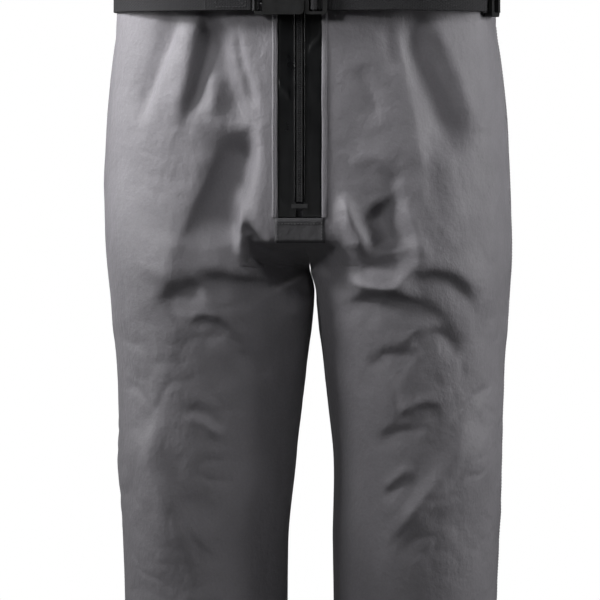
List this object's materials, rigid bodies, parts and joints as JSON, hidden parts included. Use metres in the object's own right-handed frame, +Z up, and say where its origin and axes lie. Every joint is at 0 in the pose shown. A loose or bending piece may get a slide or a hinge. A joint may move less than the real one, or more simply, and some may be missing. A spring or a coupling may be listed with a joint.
{
  "type": "chainsaw protective trousers",
  "caption": "Full-length protective work trousers with a long front zip, padded leg fronts and a webbing belt that closes with a side-release buckle.",
  "frame": {"origin": "midway between the legs on the plane of the hems: the centre of the bounding box's base", "axes": "+Z up from the hems to the waist, -Y out of the front where the zip is, +X towards the wearer's left leg"},
  "size_m": [0.4344, 0.304, 1.146],
  "materials": {
    "shell_fabric": "coated woven cloth, satin, mid grey",
    "trim_fabric": "coated woven cloth, satin, mid grey",
    "pad_cover": "matt knitted cover, dark grey",
    "lining": "matt woven lining, dark grey",
    "zip_tape": "laminated water-resistant tape, glossy black",
    "zip_teeth": "moulded plastic, satin black",
    "slider_metal": "enamelled black",
    "zip_pull": "moulded plastic, satin black",
    "webbing": "woven webbing, charcoal black",
    "buckle_plastic": "moulded plastic, satin black"
  },
  "bodies": {
    "garment": {"front_panel_left": "shell_fabric", "front_panel_right": "shell_fabric", "back_panel_left": "shell_fabric", "back_panel_right": "shell_fabric", "waistband_left": "trim_fabric", "waistband_right": "trim_fabric", "waistband_back": "trim_fabric", "hem_left": "trim_fabric", "hem_right": "trim_fabric", "zip_facing_left": "trim_fabric", "zip_facing_right": "trim_fabric", "zip_end_patch": "trim_fabric", "belt_loop_back": "trim_fabric", "belt_loop_back_left": "trim_fabric", "belt_loop_back_right": "trim_fabric", "belt_loop_side_left": "trim_fabric", "belt_loop_side_right": "trim_fabric", "protective_pad_left": "pad_cover", "protective_pad_right": "pad_cover", "fly_guard": "lining", "zip_tape_left": "zip_tape", "zip_tape_right": "zip_tape", "zip_teeth_left": "zip_teeth", "zip_teeth_right": "zip_teeth", "zip_bottom_stop": "zip_teeth", "zip_top_stop_left": "zip_teeth", "zip_top_stop_right": "zip_teeth", "belt_webbing": "webbing", "buckle_housing": "buckle_plastic"},
    "slider": {"zip_slider_front": "slider_metal", "zip_slider_back": "slider_metal"},
    "pull": {"zip_pull": "zip_pull"},
    "plug": {"buckle_plug": "buckle_plastic", "webbing_fold": "webbing"},
    "prong_upper": {"buckle_prong_upper": "buckle_plastic"},
    "prong_lower": {"buckle_prong_lower": "buckle_plastic"},
    "adjuster": {"tri_glide": "buckle_plastic"}
  },
  "joints": [
    {"name": "zip_slide", "type": "slide", "parent": "garment", "child": "slider", "axis": [0, 0, 1], "range_m": [-0.2495, 0]},
    {"name": "pull_swing", "type": "hinge", "parent": "slider", "child": "pull", "pos_m": [0, -0.1357, 1.1325], "axis": [-1, 0, 0], "range_deg": [0, 165]},
    {"name": "plug_release", "type": "slide", "parent": "garment", "child": "plug", "axis": [1, 0, 0], "range_m": [0, 0.036]},
    {"name": "prong_upper_flex", "type": "hinge", "parent": "plug", "child": "prong_upper", "pos_m": [0.0043, -0.1465, 1.1039], "axis": [0, -1, 0], "range_deg": [0, 8], "stiffness_Nm_per_rad": 0.15},
    {"name": "prong_lower_flex", "type": "hinge", "parent": "plug", "child": "prong_lower", "pos_m": [0.0043, -0.1465, 1.0701], "axis": [0, 1, 0], "range_deg": [0, 8], "stiffness_Nm_per_rad": 0.15},
    {"name": "adjuster_slide", "type": "slide", "parent": "garment", "child": "adjuster", "axis": [0.2746, 0.9615, 0], "range_m": [-0.007, 0.007]}
  ]
}
